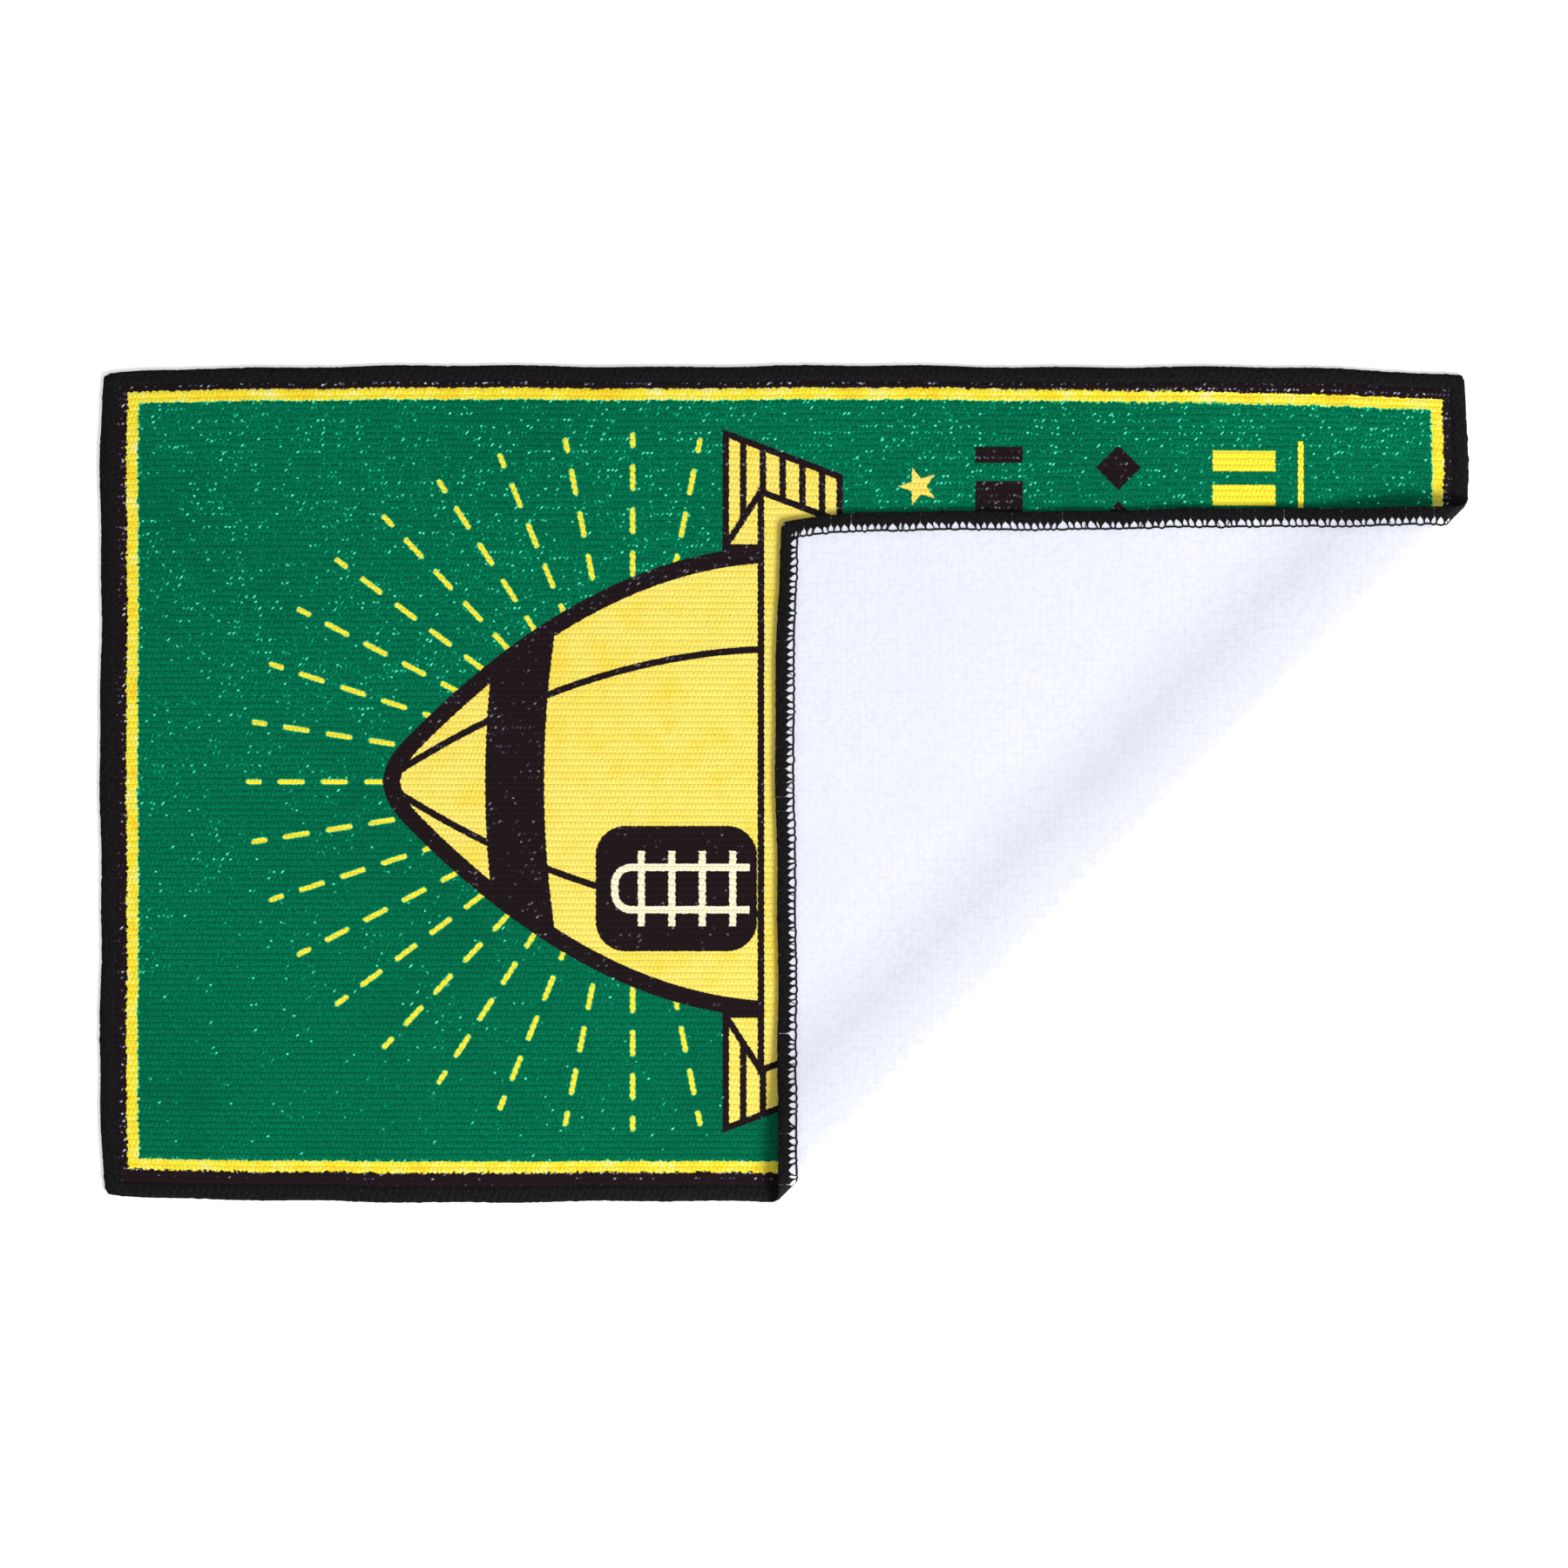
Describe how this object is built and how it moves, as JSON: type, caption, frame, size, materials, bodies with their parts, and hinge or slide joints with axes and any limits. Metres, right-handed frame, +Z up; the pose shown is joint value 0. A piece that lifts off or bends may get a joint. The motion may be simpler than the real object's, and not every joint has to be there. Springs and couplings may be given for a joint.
{
  "type": "sports rally towel",
  "caption": "Small printed microfibre sports rally towel lying flat, edges overlocked in dark thread, with one corner turned over to show the plain white back.",
  "frame": {"origin": "centre of the towel's outline, on the surface that it lies on", "axes": "+X along the towel's length, +Y across it, +Z up out of the printed face; the turned corner is the one at +X, -Y"},
  "size_m": [0.4572, 0.2794, 0.0062],
  "materials": {
    "printed_cloth": "matte",
    "white_cloth_back": "matte",
    "overlock_thread": "satin"
  },
  "bodies": {
    "panel": {"cloth_panel": "printed_cloth", "panel_left_needle_thread": "overlock_thread", "panel_left_upper_looper_thread": "overlock_thread", "panel_left_lower_looper_thread": "overlock_thread", "panel_top_needle_thread": "overlock_thread", "panel_top_upper_looper_thread": "overlock_thread", "panel_top_lower_looper_thread": "overlock_thread", "panel_right_needle_thread": "overlock_thread", "panel_right_upper_looper_thread": "overlock_thread", "panel_right_lower_looper_thread": "overlock_thread", "panel_bottom_needle_thread": "overlock_thread", "panel_bottom_upper_looper_thread": "overlock_thread", "panel_bottom_lower_looper_thread": "overlock_thread", "cloth_fold": "white_cloth_back", "fold_right_needle_thread": "overlock_thread", "fold_right_upper_looper_thread": "overlock_thread", "fold_right_lower_looper_thread": "overlock_thread", "fold_bottom_needle_thread": "overlock_thread", "fold_bottom_upper_looper_thread": "overlock_thread", "fold_bottom_lower_looper_thread": "overlock_thread"},
    "corner": {"cloth_corner": "white_cloth_back", "corner_right_needle_thread": "overlock_thread", "corner_right_upper_looper_thread": "overlock_thread", "corner_right_lower_looper_thread": "overlock_thread", "corner_bottom_needle_thread": "overlock_thread", "corner_bottom_upper_looper_thread": "overlock_thread", "corner_bottom_lower_looper_thread": "overlock_thread"}
  },
  "joints": [
    {"name": "corner_fold", "type": "hinge", "parent": "panel", "child": "corner", "pos_m": [0.06919, -0.06847, 0.00155], "axis": [0.7034, 0.7108, 0], "range_deg": [0, 180], "deforming": ["cloth_fold", "fold_right_needle_thread", "fold_right_upper_looper_thread", "fold_right_lower_looper_thread", "fold_bottom_needle_thread", "fold_bottom_upper_looper_thread", "fold_bottom_lower_looper_thread"]}
  ]
}
